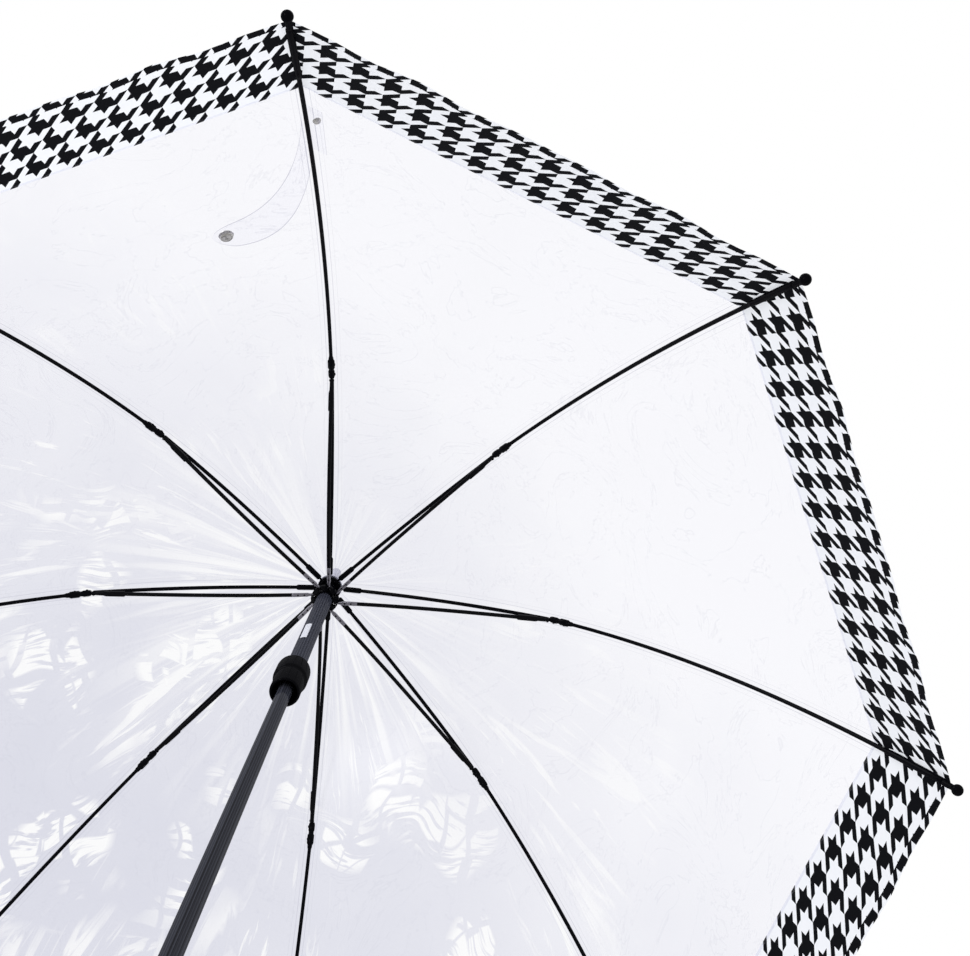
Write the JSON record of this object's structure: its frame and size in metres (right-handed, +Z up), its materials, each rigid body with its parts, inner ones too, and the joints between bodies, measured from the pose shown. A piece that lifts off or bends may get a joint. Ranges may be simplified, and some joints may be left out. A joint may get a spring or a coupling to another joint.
{
  "type": "bubble umbrella",
  "caption": "Clear dome umbrella held open: jointed ribs with sliding runner and stretchers, see-through panels, houndstooth border, closing strap and crook handle",
  "frame": {"origin": "on the shaft axis at the middle of the straight hand grip", "axes": "+Z up along the shaft towards the ferrule, +X towards rib 1"},
  "size_m": [0.847, 0.847, 0.9029],
  "materials": {
    "clear_film": "clear glossy PVC film",
    "border_fabric": "black and white houndstooth woven polyester",
    "rib_black": "black coated rod with black sleeves",
    "stretcher_steel": "dark plated steel channel",
    "tip_plastic": "black moulded plastic",
    "shaft_steel": "black coated steel tube, satin",
    "black_plastic": "black moulded plastic",
    "sleeve_plastic": "dark grey fluted plastic",
    "wire_steel": "bare steel wire",
    "ferrule_plastic": "pale grey plastic",
    "stud_metal": "nickel plated"
  },
  "bodies": {
    "frame": {"shaft": "shaft_steel", "top_notch": "black_plastic", "notch_wire": "wire_steel", "ferrule": "ferrule_plastic", "handle": "black_plastic"},
    "runner": {"runner_crown": "black_plastic", "runner_wire": "wire_steel", "runner_sleeve": "sleeve_plastic", "runner_collar": "black_plastic"},
    "rib_1": {"rib_inner_1": "rib_black", "clear_gore_1": "clear_film"},
    "rib_end_1": {"rib_outer_1": "rib_black", "tip_1": "tip_plastic", "border_1": "border_fabric", "closing_strap": "clear_film", "strap_stud": "stud_metal", "strap_socket": "stud_metal"},
    "stretcher_arm_1": {"stretcher_1": "stretcher_steel"},
    "rib_2": {"rib_inner_2": "rib_black", "clear_gore_2": "clear_film"},
    "rib_end_2": {"rib_outer_2": "rib_black", "tip_2": "tip_plastic", "border_2": "border_fabric"},
    "stretcher_arm_2": {"stretcher_2": "stretcher_steel"},
    "rib_3": {"rib_inner_3": "rib_black", "clear_gore_3": "clear_film"},
    "rib_end_3": {"rib_outer_3": "rib_black", "tip_3": "tip_plastic", "border_3": "border_fabric"},
    "stretcher_arm_3": {"stretcher_3": "stretcher_steel"},
    "rib_4": {"rib_inner_4": "rib_black", "clear_gore_4": "clear_film"},
    "rib_end_4": {"rib_outer_4": "rib_black", "tip_4": "tip_plastic", "border_4": "border_fabric"},
    "stretcher_arm_4": {"stretcher_4": "stretcher_steel"},
    "rib_5": {"rib_inner_5": "rib_black", "clear_gore_5": "clear_film"},
    "rib_end_5": {"rib_outer_5": "rib_black", "tip_5": "tip_plastic", "border_5": "border_fabric"},
    "stretcher_arm_5": {"stretcher_5": "stretcher_steel"},
    "rib_6": {"rib_inner_6": "rib_black", "clear_gore_6": "clear_film"},
    "rib_end_6": {"rib_outer_6": "rib_black", "tip_6": "tip_plastic", "border_6": "border_fabric"},
    "stretcher_arm_6": {"stretcher_6": "stretcher_steel"},
    "rib_7": {"rib_inner_7": "rib_black", "clear_gore_7": "clear_film"},
    "rib_end_7": {"rib_outer_7": "rib_black", "tip_7": "tip_plastic", "border_7": "border_fabric"},
    "stretcher_arm_7": {"stretcher_7": "stretcher_steel"},
    "rib_8": {"rib_inner_8": "rib_black", "clear_gore_8": "clear_film"},
    "rib_end_8": {"rib_outer_8": "rib_black", "tip_8": "tip_plastic", "border_8": "border_fabric"},
    "stretcher_arm_8": {"stretcher_8": "stretcher_steel"}
  },
  "joints": [
    {"name": "runner_slide", "type": "slide", "parent": "frame", "child": "runner", "axis": [0, 0, -1], "range_m": [0, 0.336], "deforming": ["clear_gore_1", "border_1", "clear_gore_2", "border_2", "clear_gore_3", "border_3", "clear_gore_4", "border_4", "clear_gore_5", "border_5", "clear_gore_6", "border_6", "clear_gore_7", "border_7", "clear_gore_8", "border_8", "closing_strap"]},
    {"name": "rib_hinge_1", "type": "hinge", "parent": "frame", "child": "rib_1", "pos_m": [0.0085, 0, 0.78], "axis": [0, 1, 0], "range_deg": [0, 60.42]},
    {"name": "rib_flex_1", "type": "hinge", "parent": "rib_1", "child": "rib_end_1", "pos_m": [0.193, 0, 0.71835], "axis": [0, -1, 0], "range_deg": [0, 30.08]},
    {"name": "stretcher_hinge_1", "type": "hinge", "parent": "runner", "child": "stretcher_arm_1", "pos_m": [0.0094, 0.0032, 0.742], "axis": [0, -1, 0], "range_deg": [0, 87.9]},
    {"name": "rib_hinge_2", "type": "hinge", "parent": "frame", "child": "rib_2", "pos_m": [0.00601, 0.00601, 0.78], "axis": [-0.7071, 0.7071, 0], "range_deg": [0, 60.42]},
    {"name": "rib_flex_2", "type": "hinge", "parent": "rib_2", "child": "rib_end_2", "pos_m": [0.13647, 0.13647, 0.71835], "axis": [0.7071, -0.7071, 0], "range_deg": [0, 30.08]},
    {"name": "stretcher_hinge_2", "type": "hinge", "parent": "runner", "child": "stretcher_arm_2", "pos_m": [0.00438, 0.00891, 0.742], "axis": [0.7071, -0.7071, 0], "range_deg": [0, 87.9]},
    {"name": "rib_hinge_3", "type": "hinge", "parent": "frame", "child": "rib_3", "pos_m": [0, 0.0085, 0.78], "axis": [-1, 0, 0], "range_deg": [0, 60.42]},
    {"name": "rib_flex_3", "type": "hinge", "parent": "rib_3", "child": "rib_end_3", "pos_m": [0, 0.193, 0.71835], "axis": [1, 0, 0], "range_deg": [0, 30.08]},
    {"name": "stretcher_hinge_3", "type": "hinge", "parent": "runner", "child": "stretcher_arm_3", "pos_m": [-0.0032, 0.0094, 0.742], "axis": [1, 0, 0], "range_deg": [0, 87.9]},
    {"name": "rib_hinge_4", "type": "hinge", "parent": "frame", "child": "rib_4", "pos_m": [-0.00601, 0.00601, 0.78], "axis": [-0.7071, -0.7071, 0], "range_deg": [0, 60.42]},
    {"name": "rib_flex_4", "type": "hinge", "parent": "rib_4", "child": "rib_end_4", "pos_m": [-0.13647, 0.13647, 0.71835], "axis": [0.7071, 0.7071, 0], "range_deg": [0, 30.08]},
    {"name": "stretcher_hinge_4", "type": "hinge", "parent": "runner", "child": "stretcher_arm_4", "pos_m": [-0.00891, 0.00438, 0.742], "axis": [0.7071, 0.7071, 0], "range_deg": [0, 87.9]},
    {"name": "rib_hinge_5", "type": "hinge", "parent": "frame", "child": "rib_5", "pos_m": [-0.0085, 0, 0.78], "axis": [0, -1, 0], "range_deg": [0, 60.42]},
    {"name": "rib_flex_5", "type": "hinge", "parent": "rib_5", "child": "rib_end_5", "pos_m": [-0.193, 0, 0.71835], "axis": [0, 1, 0], "range_deg": [0, 30.08]},
    {"name": "stretcher_hinge_5", "type": "hinge", "parent": "runner", "child": "stretcher_arm_5", "pos_m": [-0.0094, -0.0032, 0.742], "axis": [0, 1, 0], "range_deg": [0, 87.9]},
    {"name": "rib_hinge_6", "type": "hinge", "parent": "frame", "child": "rib_6", "pos_m": [-0.00601, -0.00601, 0.78], "axis": [0.7071, -0.7071, 0], "range_deg": [0, 60.42]},
    {"name": "rib_flex_6", "type": "hinge", "parent": "rib_6", "child": "rib_end_6", "pos_m": [-0.13647, -0.13647, 0.71835], "axis": [-0.7071, 0.7071, 0], "range_deg": [0, 30.08]},
    {"name": "stretcher_hinge_6", "type": "hinge", "parent": "runner", "child": "stretcher_arm_6", "pos_m": [-0.00438, -0.00891, 0.742], "axis": [-0.7071, 0.7071, 0], "range_deg": [0, 87.9]},
    {"name": "rib_hinge_7", "type": "hinge", "parent": "frame", "child": "rib_7", "pos_m": [0, -0.0085, 0.78], "axis": [1, 0, 0], "range_deg": [0, 60.42]},
    {"name": "rib_flex_7", "type": "hinge", "parent": "rib_7", "child": "rib_end_7", "pos_m": [0, -0.193, 0.71835], "axis": [-1, 0, 0], "range_deg": [0, 30.08]},
    {"name": "stretcher_hinge_7", "type": "hinge", "parent": "runner", "child": "stretcher_arm_7", "pos_m": [0.0032, -0.0094, 0.742], "axis": [-1, 0, 0], "range_deg": [0, 87.9]},
    {"name": "rib_hinge_8", "type": "hinge", "parent": "frame", "child": "rib_8", "pos_m": [0.00601, -0.00601, 0.78], "axis": [0.7071, 0.7071, 0], "range_deg": [0, 60.42]},
    {"name": "rib_flex_8", "type": "hinge", "parent": "rib_8", "child": "rib_end_8", "pos_m": [0.13647, -0.13647, 0.71835], "axis": [-0.7071, -0.7071, 0], "range_deg": [0, 30.08]},
    {"name": "stretcher_hinge_8", "type": "hinge", "parent": "runner", "child": "stretcher_arm_8", "pos_m": [0.00891, -0.00438, 0.742], "axis": [-0.7071, -0.7071, 0], "range_deg": [0, 87.9]}
  ],
  "couplings": [
    {"joint": "rib_hinge_1", "follows": "runner_slide", "rad_per_m": 3.1379},
    {"joint": "rib_flex_1", "follows": "runner_slide", "rad_per_m": 1.5619},
    {"joint": "stretcher_hinge_1", "follows": "runner_slide", "rad_per_m": 4.5654},
    {"joint": "rib_hinge_2", "follows": "runner_slide", "rad_per_m": 3.1379},
    {"joint": "rib_flex_2", "follows": "runner_slide", "rad_per_m": 1.5619},
    {"joint": "stretcher_hinge_2", "follows": "runner_slide", "rad_per_m": 4.5654},
    {"joint": "rib_hinge_3", "follows": "runner_slide", "rad_per_m": 3.1379},
    {"joint": "rib_flex_3", "follows": "runner_slide", "rad_per_m": 1.5619},
    {"joint": "stretcher_hinge_3", "follows": "runner_slide", "rad_per_m": 4.5654},
    {"joint": "rib_hinge_4", "follows": "runner_slide", "rad_per_m": 3.1379},
    {"joint": "rib_flex_4", "follows": "runner_slide", "rad_per_m": 1.5619},
    {"joint": "stretcher_hinge_4", "follows": "runner_slide", "rad_per_m": 4.5654},
    {"joint": "rib_hinge_5", "follows": "runner_slide", "rad_per_m": 3.1379},
    {"joint": "rib_flex_5", "follows": "runner_slide", "rad_per_m": 1.5619},
    {"joint": "stretcher_hinge_5", "follows": "runner_slide", "rad_per_m": 4.5654},
    {"joint": "rib_hinge_6", "follows": "runner_slide", "rad_per_m": 3.1379},
    {"joint": "rib_flex_6", "follows": "runner_slide", "rad_per_m": 1.5619},
    {"joint": "stretcher_hinge_6", "follows": "runner_slide", "rad_per_m": 4.5654},
    {"joint": "rib_hinge_7", "follows": "runner_slide", "rad_per_m": 3.1379},
    {"joint": "rib_flex_7", "follows": "runner_slide", "rad_per_m": 1.5619},
    {"joint": "stretcher_hinge_7", "follows": "runner_slide", "rad_per_m": 4.5654},
    {"joint": "rib_hinge_8", "follows": "runner_slide", "rad_per_m": 3.1379},
    {"joint": "rib_flex_8", "follows": "runner_slide", "rad_per_m": 1.5619},
    {"joint": "stretcher_hinge_8", "follows": "runner_slide", "rad_per_m": 4.5654}
  ]
}
